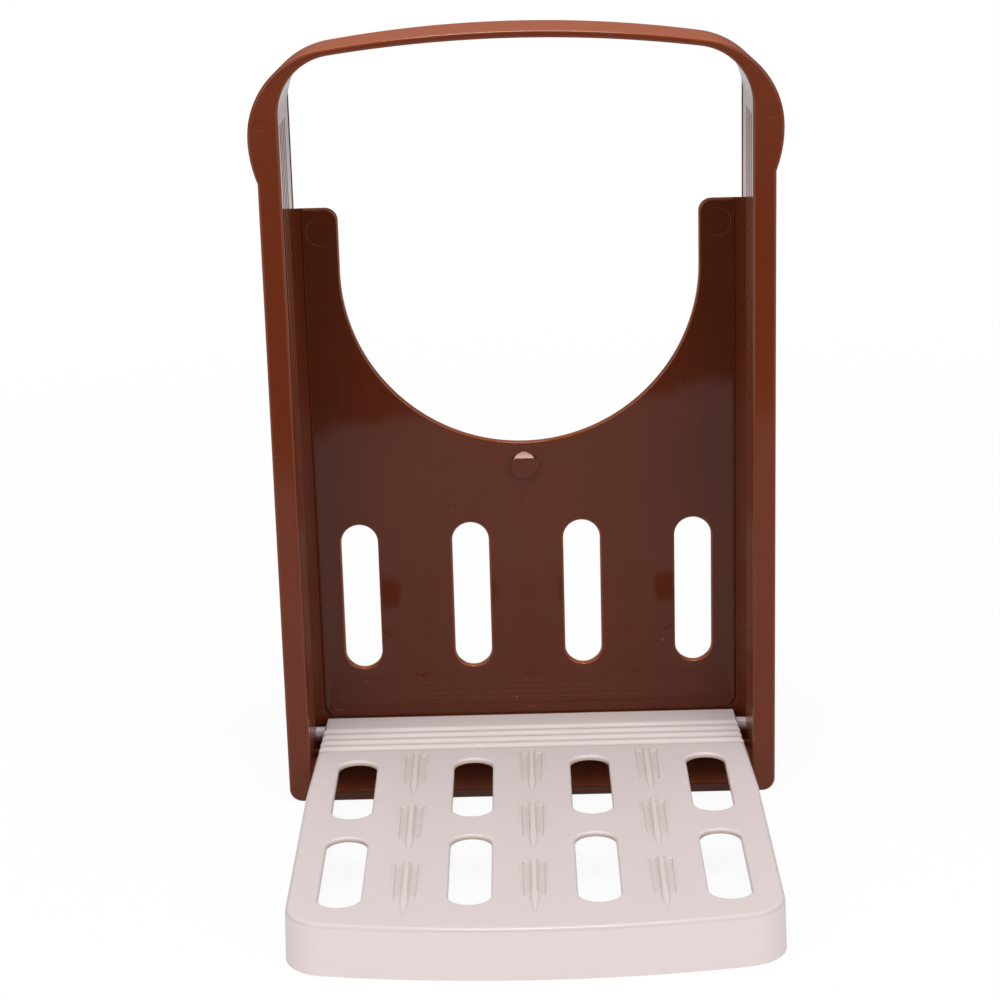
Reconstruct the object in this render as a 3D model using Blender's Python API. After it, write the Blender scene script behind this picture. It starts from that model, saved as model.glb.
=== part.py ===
# Bread cutting guide: an upright gate, a back plate seated in it and a tray that folds up.
# Metres, +Z up, +Y to the rear. The origin is the middle of the footprint, on the surface
# that the guide stands on.

import math

import bmesh
import bpy
from mathutils import Vector

# Knife slits in the side walls
slice_count = 4
first_slice = 0.0137            # from the back plate's face to the middle of the first slit
slice_step = 0.005
front_margin = 0.0057           # from the last slit's middle to the gate's front
slit_width = 0.002
slit_start_drop = 0.0019        # the slits start this far under the tray's top
slit_top_drop = 0.0083          # and end this far under the side pocket's top

# Gate frame: outline seen from the front
wall_gap = 0.1362               # between the inner faces of the side walls
post_width = 0.0069
arch_over_horns = 0.0556        # from the back plate's horns up to the top of the arch
foot_radius = 0.004             # outer bottom corner of a post
ear_reach = 0.0023              # how far an ear stands out beyond its post
ear_lower_radius = 0.036
ear_upper_radius = 0.0256
ear_turn = math.radians(78.8)   # where the ear's upper curve meets the arch
arch_rise = 0.0044              # middle of the arch over the ears' upper ends
arch_thickness = 0.0023         # at the middle of the front
arch_draft = 0.00096            # the rear of the arch is this much lower than its front
inner_arch_rise = 0.0035        # middle of the inner arch over its corners
inner_corner_radius = 0.017

# Gate frame: walls
web_thickness = 0.0023          # side wall between its flanges
flange_thickness = 0.0023       # front and rear flange of a side wall
floor_thickness = 0.0034        # bar between the feet
pocket_top_drop = 0.0226        # from the gate's top down to the side pocket's top
pocket_corner_radius = 0.005

# Gate frame: lip inside the rear edge, which the back plate sits in
lip_width = 0.0022
lip_thickness = 0.001
lip_foot_height = 0.0106        # lip along the floor bar, over the bar
lip_corner_radius = 0.005
upper_lip_width = 0.0003        # above the wide lip

# Back plate
plate_thickness = 0.0024
plate_edge_thickness = 0.0011   # rebated edge behind the lip
seat_clearance = 0.0003         # between the plate and the gate
plate_rise = 0.0894             # from the tray's top up to the notch's lowest point
horn_width = 0.0109
horn_straight = 0.020           # straight side of the notch, over its round bottom
horn_corner_radius = 0.004
plate_slot_width = 0.01145
plate_slot_rise = 0.0161        # from the tray's top up to the slots
plate_slot_drop = 0.0258        # from the notch's lowest point down to them
plate_slot_margin = 0.007525    # beside the outermost slots
catch_diameter = 0.008
catch_drop = 0.0071             # from the notch's lowest point down to the nub's middle
catch_gap = 0.0013              # between the nub and the folded tray
catch_root = 0.001              # how deep it is rooted in the plate

# Tray
tray_side_gap = 0.0010          # between the tray's widest part and the side walls
tray_taper = 0.0021             # each side draws in by this much towards the rear
tray_taper_length = 0.064       # from the rear edge to where the sides run straight
tray_front_bow = 0.005          # middle of the front edge over its corners
tray_corner_radius = 0.0125
tray_top_thickness = 0.002
tray_wall = 0.0018
tray_rear_chamfer_width = 0.002
tray_rear_chamfer_length = 0.003
tray_front_clearance = 0.0004   # full skirt in front of the gate's floor bar
slots_in_row = 4
tray_slot_width = 0.0117
tray_slot_margin = 0.00845      # beside the outermost slots
rear_slot_start = 0.0043        # from the gate's front to the rear row
rear_slot_length = 0.0442
slot_row_gap = 0.0135
front_slot_length = 0.046
tray_front_margin = 0.0159      # from the front row to the tray's front edge
groove_depth = 0.0007           # knife landings across the tray
groove_width = 0.0036
rear_strip_drop = 0.0004        # flat strip behind the ridges
rear_strip_width = 0.009        # measured from the back plate's face

# Wedges on the tray
wedges_in_row = 3
wedge_rows = 3
wedge_start = 0.0008            # from the gate's front to the first wedge's rear end
wedge_row_gap = 0.0064
wedge_front_margin = 0.0083     # from the last wedge to the tray's front edge
wedge_half_width = 0.0034
wedge_height = 0.0014
wedge_shoulder_share = 0.35     # of its length, where a wedge is widest
wedge_peak_share = 0.08         # of its length, where a wedge is highest
wedge_root = 0.0008

# Hinge
nose_radius = 0.006             # tray's rear edge, round about the hinge
nose_clearance = 0.0004         # between that edge and the back plate
nose_floor_gap = 0.0022         # and between it and the floor bar
tray_top_rise = 0.0033          # tray's top over the hinge
stub_radius = 0.0026
hinge_clearance = 0.0003

# Shared
overrun = 0.002                 # how far a cut runs past what it cuts
arc_steps = 10
round_steps = 32
smooth_angle = math.radians(30)

# Worked out from the sizes above, up the hinge, the tray, the back plate and the gate
hinge_height = floor_thickness + nose_floor_gap + nose_radius
tray_height = hinge_height + tray_top_rise
half_gap = wall_gap / 2
half_gate = half_gap + post_width
half_overall = half_gate + ear_reach
plate_half = half_gap - lip_width - seat_clearance
half_notch = plate_half - horn_width
notch_bottom = tray_height + plate_rise
notch_centre_height = notch_bottom + half_notch
plate_height = notch_centre_height + horn_straight
plate_slot_bottom = tray_height + plate_slot_rise
plate_slot_top = notch_bottom - plate_slot_drop
gate_height = plate_height + arch_over_horns
pocket_top = gate_height - pocket_top_drop

# From the gate's front to the rear
plate_face = first_slice + slice_step * (slice_count - 1) + front_margin
gate_depth = plate_face + plate_thickness
slit_places = [plate_face - first_slice - slice_step * i for i in range(slice_count)]
hinge_y = plate_face - nose_clearance - nose_radius
tray_rear = hinge_y + nose_radius
rear_slot_end = rear_slot_start + rear_slot_length
front_slot_start = rear_slot_end + slot_row_gap
front_slot_end = front_slot_start + front_slot_length
tray_front = -front_slot_end - tray_front_margin
footprint_middle = (gate_depth + tray_front) / 2

# Patterns
tray_half = half_gap - tray_side_gap
tray_slot_pitch = (2 * (tray_half - tray_slot_margin) - tray_slot_width) / (slots_in_row - 1)
plate_slot_pitch = (2 * (plate_half - plate_slot_margin) - plate_slot_width) / (slots_in_row - 1)
wedge_run = -tray_front - wedge_start - wedge_front_margin
wedge_length = (wedge_run - wedge_row_gap * (wedge_rows - 1)) / wedge_rows


# Scene and materials

def clear_scene():
    for item in list(bpy.data.objects):
        bpy.data.objects.remove(item)


def plastic(name, colour, roughness):
    material = bpy.data.materials.new(name)
    material.use_nodes = True
    shader = material.node_tree.nodes["Principled BSDF"]
    shader.inputs["Base Color"].default_value = colour
    shader.inputs["Roughness"].default_value = roughness
    shader.inputs["Metallic"].default_value = 0.0
    return material


def brown_plastic():
    return plastic("brown_plastic", (0.14, 0.030, 0.013, 1.0), 0.35)


def cream_plastic():
    return plastic("cream_plastic", (0.72, 0.62, 0.58, 1.0), 0.4)


# Mesh helpers

def new_object(name, mesh_data, material=None):
    mesh = bpy.data.meshes.new(name)
    mesh_data.to_mesh(mesh)
    mesh_data.free()
    made = bpy.data.objects.new(name, mesh)
    bpy.context.scene.collection.objects.link(made)
    if material:
        mesh.materials.append(material)
    return made


def boolean(target, tool, operation):
    tool.hide_render = True
    tool.display_type = "WIRE"
    modifier = target.modifiers.new(tool.name, "BOOLEAN")
    modifier.operation = operation
    modifier.solver = "EXACT"
    modifier.object = tool


def apply_tools(item):
    """Applies a piece's modifiers, removes their tools and shades the piece smooth."""
    tools = [modifier.object for modifier in item.modifiers]
    graph = bpy.context.evaluated_depsgraph_get()
    mesh = bpy.data.meshes.new_from_object(item.evaluated_get(graph))
    item.modifiers.clear()
    item.data = mesh
    mesh.shade_smooth()
    mesh.set_sharp_from_angle(angle=smooth_angle)
    for tool in tools:
        bpy.data.objects.remove(tool)
    return item


def add_prism(data, outline, start, end, place, shrink=1.0):
    """Closed prism on an outline; place puts an outline point and a depth in space.

    Its far end may shrink towards the ground line, as a moulding's draft does.
    """
    near = [data.verts.new(place(point, start)) for point in outline]
    face = data.faces.new(near)
    grown = bmesh.ops.extrude_face_region(data, geom=[face])
    far = [item for item in grown["geom"] if isinstance(item, bmesh.types.BMVert)]
    shift = place(outline[0], end) - place(outline[0], start)
    bmesh.ops.translate(data, verts=far, vec=shift)
    bmesh.ops.scale(data, verts=far, vec=(shrink, 1, shrink))
    bmesh.ops.recalc_face_normals(data, faces=data.faces)


def along_y(point, depth):
    return Vector((point[0], depth - footprint_middle, point[1]))


def along_z(point, depth):
    return Vector((point[0], point[1] - footprint_middle, depth))


def along_x(point, depth):
    return Vector((depth, point[0] - footprint_middle, point[1]))


def prism(name, outline, start, end, place, material=None, shrink=1.0):
    data = bmesh.new()
    add_prism(data, outline, start, end, place, shrink)
    return new_object(name, data, material)


def prisms(name, outlines, start, end, place):
    data = bmesh.new()
    for outline in outlines:
        add_prism(data, outline, start, end, place)
    return new_object(name, data)


def arc(centre, radius, start, end, steps=arc_steps):
    turn = (end - start) / steps
    return [
        (centre[0] + radius * math.cos(start + turn * i), centre[1] + radius * math.sin(start + turn * i))
        for i in range(steps + 1)
    ]


def mirrored(half):
    """Outline from its right half, which runs from the bottom to the top."""
    left = [(-x, y) for x, y in reversed(half) if x > 0]
    return half + left


def rectangle(x0, y0, x1, y1):
    return [(x0, y0), (x1, y0), (x1, y1), (x0, y1)]


def circle(centre, radius):
    return arc(centre, radius, 0, 2 * math.pi, round_steps)[:-1]


def long_slot(x, bottom, top, width):
    radius = width / 2
    upper = arc((x, top - radius), radius, 0, math.pi)
    lower = arc((x, bottom + radius), radius, math.pi, 2 * math.pi)
    return upper + lower


def row_places(pitch, count):
    return [pitch * (i - (count - 1) / 2) for i in range(count)]


def bowed_end(half_width, corner_radius, rise, end):
    """Round corner and a shallow bow tangent to it, from the side at half_width to the middle."""
    corner = (half_width - corner_radius, end - rise - corner_radius)
    drop = rise + corner_radius
    bow_radius = (corner[0] ** 2 + drop ** 2 - corner_radius ** 2) / (2 * rise)
    bow_centre = (0, end - bow_radius)
    meet = math.atan2(corner[1] - bow_centre[1], corner[0])
    return arc(corner, corner_radius, 0, meet) + arc(bow_centre, bow_radius, meet, math.pi / 2)[1:]


# Gate frame

def gate_outline():
    ear_centre_height = gate_height - arch_rise - ear_upper_radius * math.sin(ear_turn)
    upper_centre = (half_overall - ear_upper_radius, ear_centre_height)
    lower_centre = (half_overall - ear_lower_radius, ear_centre_height)
    lower_start = -math.acos((ear_lower_radius - ear_reach) / ear_lower_radius)
    upper_ear = arc(upper_centre, ear_upper_radius, 0, ear_turn)
    half_span = upper_ear[-1][0]
    arch_radius = (half_span ** 2 + arch_rise ** 2) / (2 * arch_rise)
    arch_centre = (0, gate_height - arch_radius)
    arch_start = math.atan2(upper_ear[-1][1] - arch_centre[1], half_span)
    half = arc((half_gate - foot_radius, foot_radius), foot_radius, -math.pi / 2, 0)
    half += arc(lower_centre, ear_lower_radius, lower_start, 0)
    half += upper_ear[1:]
    half += arc(arch_centre, arch_radius, arch_start, math.pi / 2)[1:-1] + [(0, gate_height)]
    return mirrored(half)


def inner_arch():
    points = bowed_end(half_gap, inner_corner_radius, inner_arch_rise, gate_height - arch_thickness)
    return points[:-1] + [(0, gate_height - arch_thickness)]


def mouth_outline():
    return mirrored([(half_gap, floor_thickness)] + inner_arch())


def rear_mouth_outline():
    wide = half_gap - lip_width
    narrow = half_gap - upper_lip_width
    corner = (wide - lip_corner_radius, floor_thickness + lip_foot_height + lip_corner_radius)
    half = arc(corner, lip_corner_radius, -math.pi / 2, 0)
    half += [(wide, plate_height), (narrow, plate_height)]
    half += [point for point in inner_arch() if point[0] < narrow]
    return mirrored(half)


def pocket_outline(side):
    inner = half_gap + web_thickness
    outer = half_overall + overrun
    corner = (inner + pocket_corner_radius, pocket_top - pocket_corner_radius)
    points = [(outer, floor_thickness), (outer, pocket_top)]
    points += arc(corner, pocket_corner_radius, math.pi / 2, math.pi)
    points += [(inner, floor_thickness)]
    return [(side * x, z) for x, z in points]


def slit_outlines():
    bottom = tray_height - slit_start_drop
    top = pocket_top - slit_top_drop
    return [rectangle(y - slit_width / 2, bottom, y + slit_width / 2, top) for y in slit_places]


def build_gate():
    outer = half_overall + overrun
    shrink = 1 - arch_draft / gate_height
    gate = prism("gate_frame", gate_outline(), 0, gate_depth, along_y, brown_plastic(), shrink)
    mouth = prism("gate_mouth_cut", mouth_outline(), -overrun, plate_face, along_y)
    rear_mouth = prism("gate_rear_mouth_cut", rear_mouth_outline(), plate_face - overrun,
                       gate_depth + overrun, along_y)
    seat = rectangle(-half_gap, floor_thickness, half_gap, plate_height + seat_clearance)
    seat_cut = prism("plate_seat_cut", seat, plate_face + lip_thickness, gate_depth + overrun, along_y)
    pockets = prisms("side_pocket_cut", [pocket_outline(-1), pocket_outline(1)], flange_thickness,
                     gate_depth - flange_thickness, along_y)
    slits = prisms("knife_slit_cut", slit_outlines(), -outer, outer, along_x)
    hole = circle((hinge_y, hinge_height), stub_radius + hinge_clearance)
    holes = prism("hinge_hole_cut", hole, -outer, outer, along_x)
    for tool in (mouth, rear_mouth, seat_cut, pockets, slits, holes):
        boolean(gate, tool, "DIFFERENCE")
    return apply_tools(gate)


# Back plate

def notch_outline():
    top = plate_height + overrun
    flare = arc((half_notch + horn_corner_radius, plate_height - horn_corner_radius), horn_corner_radius,
                math.pi, math.pi / 2)
    half = arc((0, notch_centre_height), half_notch, -math.pi / 2, 0, arc_steps * 2)
    half[0] = (0, notch_centre_height - half_notch)
    half += flare
    half += [(half_notch + horn_corner_radius, top)]
    return mirrored(half)


def plate_body_outline():
    radius = lip_corner_radius - seat_clearance
    bottom = floor_thickness + lip_foot_height + seat_clearance
    corner = (plate_half - radius, bottom + radius)
    return mirrored(arc(corner, radius, -math.pi / 2, 0) + [(plate_half, plate_height)])


def catch_nub():
    """Round nub with a ramp on top, which runs down and forwards from its crown."""
    centre_height = notch_bottom - catch_drop
    crown_height = centre_height + catch_diameter / 2
    reach = plate_face - catch_gap - hinge_y - tray_top_rise
    data = bmesh.new()
    add_prism(data, circle((0, centre_height), catch_diameter / 2), plate_face - reach,
              plate_face + catch_root, along_y)
    everything = list(data.verts) + list(data.edges) + list(data.faces)
    cut = bmesh.ops.bisect_plane(data, geom=everything, clear_outer=True, plane_no=(0, -1, 1),
                                 plane_co=along_y((0, crown_height), plate_face))
    rim = [item for item in cut["geom_cut"] if isinstance(item, bmesh.types.BMEdge)]
    bmesh.ops.holes_fill(data, edges=rim)
    bmesh.ops.recalc_face_normals(data, faces=data.faces)
    return new_object("catch_nub_join", data)


def build_plate():
    edge_half = half_gap - seat_clearance
    edge = rectangle(-edge_half, floor_thickness + seat_clearance, edge_half, plate_height)
    plate = prism("back_plate", edge, gate_depth - plate_edge_thickness, gate_depth, along_y,
                  brown_plastic())
    body = prism("plate_body_join", plate_body_outline(), plate_face,
                 gate_depth - plate_edge_thickness / 2, along_y)
    notch = prism("notch_cut", notch_outline(), -overrun, gate_depth + overrun, along_y)
    outlines = [
        long_slot(x, plate_slot_bottom, plate_slot_top, plate_slot_width)
        for x in row_places(plate_slot_pitch, slots_in_row)
    ]
    slots = prisms("plate_slot_cut", outlines, -overrun, gate_depth + overrun, along_y)
    boolean(plate, body, "UNION")
    boolean(plate, notch, "DIFFERENCE")
    boolean(plate, slots, "DIFFERENCE")
    boolean(plate, catch_nub(), "UNION")
    return apply_tools(plate)


# Tray

def tray_outline(inset):
    """Plan of the tray from its rear edge to its bowed front, drawn in by inset."""
    half = tray_half - inset
    rear_half = half - tray_taper
    rear = tray_rear - inset
    half_outline = [
        (rear_half - tray_rear_chamfer_width, rear),
        (rear_half, rear - tray_rear_chamfer_length),
        (half, tray_rear - tray_taper_length),
    ]
    front = bowed_end(half, tray_corner_radius - inset, tray_front_bow, -tray_front - inset)
    half_outline += [(x, -y) for x, y in front[:-1]]
    return mirrored(half_outline + [(0, tray_front + inset)])


def tray_profile():
    """Side view that the tray is trimmed to: raised skirt in the gate, round nose at the hinge."""
    raised = hinge_height - nose_radius
    top_turn = math.asin(tray_top_rise / nose_radius)
    nose = arc((hinge_y, hinge_height), nose_radius, -math.pi / 2, top_turn)
    front = tray_front - overrun
    step = -tray_front_clearance
    return [(front, 0), (step, 0), (step, raised)] + nose + [(front, tray_height)]


def groove_outlines():
    top = tray_height + overrun
    spread = groove_width / 2 * (1 + overrun / groove_depth)
    return [
        [(y, tray_height - groove_depth), (y + spread, top), (y - spread, top)]
        for y in slit_places
    ]


def add_wedge(data, x, rear):
    base = tray_height - wedge_root
    shoulder = rear - wedge_length * wedge_shoulder_share
    outline = [(x, rear), (x - wedge_half_width, shoulder), (x, rear - wedge_length),
               (x + wedge_half_width, shoulder)]
    low = [data.verts.new(along_z(point, base)) for point in outline]
    rim = [data.verts.new(along_z(point, tray_height)) for point in outline]
    peak_place = (x, rear - wedge_length * wedge_peak_share)
    peak = data.verts.new(along_z(peak_place, tray_height + wedge_height))
    data.faces.new(low)
    for i in range(len(outline)):
        following = (i + 1) % len(outline)
        data.faces.new((low[i], low[following], rim[following], rim[i]))
        data.faces.new((rim[i], rim[following], peak))


def build_wedges():
    data = bmesh.new()
    for x in row_places(tray_slot_pitch, wedges_in_row):
        for row in range(wedge_rows):
            add_wedge(data, x, -wedge_start - (wedge_length + wedge_row_gap) * row)
    bmesh.ops.recalc_face_normals(data, faces=data.faces)
    return new_object("wedge_join", data)


def build_stubs():
    reach = half_gap + web_thickness - hinge_clearance
    root = tray_half - tray_taper - tray_wall / 2
    outline = circle((hinge_y, hinge_height), stub_radius)
    data = bmesh.new()
    add_prism(data, outline, root, reach, along_x)
    add_prism(data, outline, -reach, -root, along_x)
    return new_object("hinge_stub_join", data)


def build_tray():
    tray = prism("tray", tray_outline(0), 0, tray_height, along_z, cream_plastic())
    half = tray_half + overrun
    trim = prism("tray_side_view_keep", tray_profile(), -half, half, along_x)
    hollow = prism("tray_hollow_cut", tray_outline(tray_wall), -overrun,
                   tray_height - tray_top_thickness, along_z)
    rows = ((rear_slot_end, rear_slot_start), (front_slot_end, front_slot_start))
    outlines = [
        long_slot(x, -end, -start, tray_slot_width)
        for x in row_places(tray_slot_pitch, slots_in_row)
        for end, start in rows
    ]
    slots = prisms("tray_slot_cut", outlines, -overrun, tray_height + overrun, along_z)
    grooves = prisms("groove_cut", groove_outlines(), -half, half, along_x)
    strip = rectangle(plate_face - rear_strip_width, tray_height - rear_strip_drop,
                      tray_rear + overrun, tray_height + overrun)
    strip_cut = prism("rear_strip_cut", strip, -half, half, along_x)
    boolean(tray, trim, "INTERSECT")
    for tool in (hollow, slots, grooves, strip_cut):
        boolean(tray, tool, "DIFFERENCE")
    boolean(tray, build_wedges(), "UNION")
    boolean(tray, build_stubs(), "UNION")
    return apply_tools(tray)


def hang_on_hinge(item):
    """Parents a piece to an empty on the hinge's axis, and leaves it where it is."""
    axis = bpy.data.objects.new("tray_hinge_axis", None)
    bpy.context.scene.collection.objects.link(axis)
    axis.location = along_x((hinge_y, hinge_height), 0)
    item.parent = axis
    item.location = -axis.location


def main():
    clear_scene()
    build_gate()
    build_plate()
    hang_on_hinge(build_tray())


main()
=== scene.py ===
import math

import bmesh
import bpy
from mathutils import Matrix, Vector


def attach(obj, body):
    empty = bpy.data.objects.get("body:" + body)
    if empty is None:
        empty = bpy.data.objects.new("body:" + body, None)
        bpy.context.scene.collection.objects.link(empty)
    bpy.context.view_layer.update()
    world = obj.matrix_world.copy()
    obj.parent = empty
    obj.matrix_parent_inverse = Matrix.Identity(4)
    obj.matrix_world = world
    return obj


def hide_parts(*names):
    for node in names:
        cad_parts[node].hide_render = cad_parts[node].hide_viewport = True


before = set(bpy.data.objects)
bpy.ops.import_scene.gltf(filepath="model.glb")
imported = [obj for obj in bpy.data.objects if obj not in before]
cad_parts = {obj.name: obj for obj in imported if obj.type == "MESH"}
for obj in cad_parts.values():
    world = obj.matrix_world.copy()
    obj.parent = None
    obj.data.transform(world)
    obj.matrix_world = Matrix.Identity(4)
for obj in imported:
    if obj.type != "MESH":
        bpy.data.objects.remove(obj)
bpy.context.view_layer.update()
print("frame loaded:", ", ".join(sorted(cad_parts)))


# Modelling helpers. Everything is in metres, x to the right, y to the rear, z up.

sharpFrom = math.radians(28)      # an edge that turns more than this counts as a corner
quarter = math.radians(90)
overcut = 0.002                   # how far a cutter stands out beyond what it cuts
mergeWithin = 0.000005            # points closer than this become one
slack = 0.0001                    # what a test of a place allows for
slotsInRow = 4
spinAxis = {"front": (0, 1, 0), "plan": (0, 0, -1), "side": (-1, 0, 0)}
alongX = (0, quarter, 0)          # turns that lay a cylinder along x or y
alongY = (quarter, 0, 0)


def placed(plane, a, b, depth=0.0):
    if plane == "front":          # a is x, b is z
        return Vector((a, depth, b))
    if plane == "plan":           # a is x, b is y
        return Vector((a, b, depth))
    return Vector((depth, a, b))  # side view: a is y, b is z


def leaveEditMode():
    if bpy.context.mode != "OBJECT":
        bpy.ops.object.mode_set(mode="OBJECT")
    bpy.ops.object.select_all(action="DESELECT")


def pick(item):
    leaveEditMode()
    item.select_set(True)
    bpy.context.view_layer.objects.active = item


def openForEdit(item, selectMode="EDGE"):
    pick(item)
    bpy.ops.object.mode_set(mode="EDIT")
    bpy.ops.mesh.select_mode(type=selectMode)
    bpy.ops.mesh.select_all(action="DESELECT")
    return bmesh.from_edit_mesh(item.data)


def selectAll():
    bpy.ops.mesh.select_all(action="SELECT")


def openWhole(item):
    openForEdit(item, "VERT")
    selectAll()


def penPlace(item):
    data = bmesh.from_edit_mesh(item.data)
    return [vert.co.copy() for vert in data.verts if vert.select][-1]


def drawOutline(name, plane, depth, strokes, half=True):
    # A plane shrunk to one point is the pen. Strokes are extruded lines and spun arcs.
    leaveEditMode()
    bpy.ops.mesh.primitive_plane_add(size=0.01)
    item = bpy.context.object
    item.name = name
    bpy.ops.object.mode_set(mode="EDIT")
    bpy.ops.mesh.select_mode(type="VERT")
    selectAll()
    bpy.ops.mesh.merge(type="CENTER")
    for stroke in strokes:
        if stroke[0] == "start":
            bpy.ops.transform.translate(value=placed(plane, stroke[1], stroke[2], depth))
        elif stroke[0] == "line":
            move = placed(plane, stroke[1], stroke[2], depth) - penPlace(item)
            bpy.ops.mesh.extrude_vertices_move(TRANSFORM_OT_translate={"value": move})
        else:                     # an arc about a centre; a positive turn runs anticlockwise
            centre = placed(plane, stroke[1], stroke[2], depth)
            bpy.ops.mesh.spin(steps=stroke[4], angle=stroke[3], center=centre, axis=spinAxis[plane])
    selectAll()
    if half:                      # the other half is the mirror image
        bpy.ops.mesh.duplicate()
        bpy.ops.transform.resize(value=(-1, 1, 1), center_override=(0, 0, 0))
        selectAll()
    bpy.ops.mesh.remove_doubles(threshold=mergeWithin)
    bpy.ops.mesh.edge_face_add()
    return item


def pushOut(item, plane, amount):
    selectAll()
    bpy.ops.mesh.extrude_region_move(TRANSFORM_OT_translate={"value": placed(plane, 0, 0, amount)})
    selectAll()
    bpy.ops.mesh.normals_make_consistent(inside=False)
    bpy.ops.object.mode_set(mode="OBJECT")
    return item


def solid(name, plane, start, end, strokes, half=True):
    return pushOut(drawOutline(name, plane, start, strokes, half), plane, end - start)


def scaleEnd(item, isEnd, share):
    # Draft or flare: the chosen end grows or shrinks about the origin
    data = openForEdit(item, "VERT")
    for vert in data.verts:
        vert.select_set(isEnd(vert.co))
    data.select_flush(True)
    bmesh.update_edit_mesh(item.data)
    bpy.ops.transform.resize(value=share, center_override=(0, 0, 0))
    bpy.ops.object.mode_set(mode="OBJECT")


def copyAlong(item, offset, count):
    openWhole(item)
    for turn in range(count - 1):
        bpy.ops.mesh.duplicate_move(TRANSFORM_OT_translate={"value": offset})
    bpy.ops.object.mode_set(mode="OBJECT")
    return item


def mirrorCopy(item):
    openWhole(item)
    bpy.ops.mesh.duplicate()
    bpy.ops.transform.resize(value=(-1, 1, 1), center_override=(0, 0, 0))
    selectAll()
    bpy.ops.mesh.normals_make_consistent(inside=False)
    bpy.ops.object.mode_set(mode="OBJECT")
    return item


def joined(items):
    pick(items[0])
    for item in items[1:]:
        item.select_set(True)
    bpy.ops.object.join()
    return items[0]


def combine(item, tool, operation="DIFFERENCE"):
    pick(item)
    modifier = item.modifiers.new(tool.name, "BOOLEAN")
    modifier.operation = operation
    modifier.solver = "EXACT"
    modifier.object = tool
    bpy.ops.object.modifier_apply(modifier=modifier.name)
    bpy.data.objects.remove(tool)


def roundCorners(item, isCorner, width, segments):
    data = openForEdit(item)
    found = 0
    for edge in data.edges:
        if len(edge.link_faces) == 2 and edge.calc_face_angle() > sharpFrom:
            if isCorner(edge.verts[0].co) and isCorner(edge.verts[1].co):
                edge.select_set(True)
                found += 1
    bmesh.update_edit_mesh(item.data)
    bpy.ops.mesh.bevel(offset=width, segments=segments, profile=0.5, affect="EDGES",
                       clamp_overlap=False)
    bpy.ops.object.mode_set(mode="OBJECT")
    print("  ", item.name, "rounded", found, "edges by", round(width * 1000, 2), "mm")


def near(value, target, reach=0.00002):
    return abs(value - target) < reach


def roundPlane(item, axis, level, width, segments):
    # The corners that lie in one plane
    roundCorners(item, lambda place: near(getattr(place, axis), level), width, segments)


def cylinder(name, radius, depth, centre, turn, vertices=48):
    leaveEditMode()
    bpy.ops.mesh.primitive_cylinder_add(vertices=vertices, radius=radius, depth=depth,
                                        location=centre, rotation=turn)
    item = bpy.context.object
    item.name = name
    bpy.ops.object.transform_apply(location=True, rotation=True, scale=True)
    return item


def longHole(name, plane, start, end, x, bottom, top, width):
    radius = width / 2
    strokes = [
        ("start", x + radius, bottom + radius),
        ("line", x + radius, top - radius),
        ("arc", x, top - radius, 2 * quarter, 20),
        ("line", x - radius, bottom + radius),
        ("arc", x, bottom + radius, 2 * quarter, 20),
    ]
    return solid(name, plane, start, end, strokes, half=False)


def rowOfHoles(name, plane, start, end, pitch, bottom, top, width):
    firstX = -pitch * (slotsInRow - 1) / 2
    first = longHole(name, plane, start, end, firstX, bottom, top, width)
    return copyAlong(first, (pitch, 0, 0), slotsInRow)


def shallowDisc(name, x, y, z, radius, depth, widening=1.04):
    # A cutter for the round mark that an ejector pin leaves on a front face
    mark = cylinder(name, radius, 2 * depth, (x, y, z), alongY)
    data = openForEdit(mark, "FACE")
    for face in data.faces:
        if face.normal.y < -0.9:
            face.select_set(True)
    bmesh.update_edit_mesh(mark.data)
    bpy.ops.transform.resize(value=(widening, 1, widening), center_override=(x, y - depth, z))
    bpy.ops.object.mode_set(mode="OBJECT")
    return mark


def finishPiece(item, material, node, body):
    pick(item)
    bpy.ops.object.transform_apply(location=True, rotation=True, scale=True)
    bpy.ops.object.shade_smooth_by_angle(angle=sharpFrom)
    weighted = item.modifiers.new("evenNormals", "WEIGHTED_NORMAL")
    weighted.keep_sharp = True
    weighted.weight = 50
    bpy.ops.object.modifier_apply(modifier=weighted.name)
    item.data.materials.clear()
    item.data.materials.append(material)
    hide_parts(node)
    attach(item, body)
    bpy.ops.object.select_all(action="DESELECT")
    print(item.name, "made,", len(item.data.polygons), "faces")


# Shared surface effects, as node groups

effectRange = {
    "clouds": (0.3, 0.7), "streaks": (0.3, 0.7), "streakStretch": (1, 1, 0.05),
    "turned": (0.995, 0.80), "ragged": (0.25, 0.65, 0.55, 1.0),
    "rimAlong": (0.995, 0.88), "rimAcross": (0.05, 0.25), "lookingUp": (0.60, 0.97),
    "dots": (0.13, 0.06), "dotPatches": (0.56, 0.66), "dotPatchScale": 90.0,
    "rubWidth": (0.012, 0.002), "rubStretch": (1, 1, 0.03), "rubDepth": -0.6,
    "rubTurns": ((0.0, 0.5, 0.3), (0.4, -0.3, 0.9)),
    "rubPatches": (0.5, 0.7), "rubPatchScale": 60.0, "underside": (-0.9, -0.5),
}


def newGroup(name, inputs, outputs):
    group = bpy.data.node_groups.new(name, "ShaderNodeTree")
    kind = "NodeSocketFloat"
    for label, value in inputs:
        socket = group.interface.new_socket(name=label, in_out="INPUT", socket_type=kind)
        socket.default_value = value
    for label in outputs:
        group.interface.new_socket(name=label, in_out="OUTPUT", socket_type=kind)
    return group, group.nodes.new("NodeGroupInput"), group.nodes.new("NodeGroupOutput")


def addNode(tree, kind, **settings):
    node = tree.nodes.new(kind)
    for key, value in settings.items():
        setattr(node, key, value)
    return node


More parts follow.
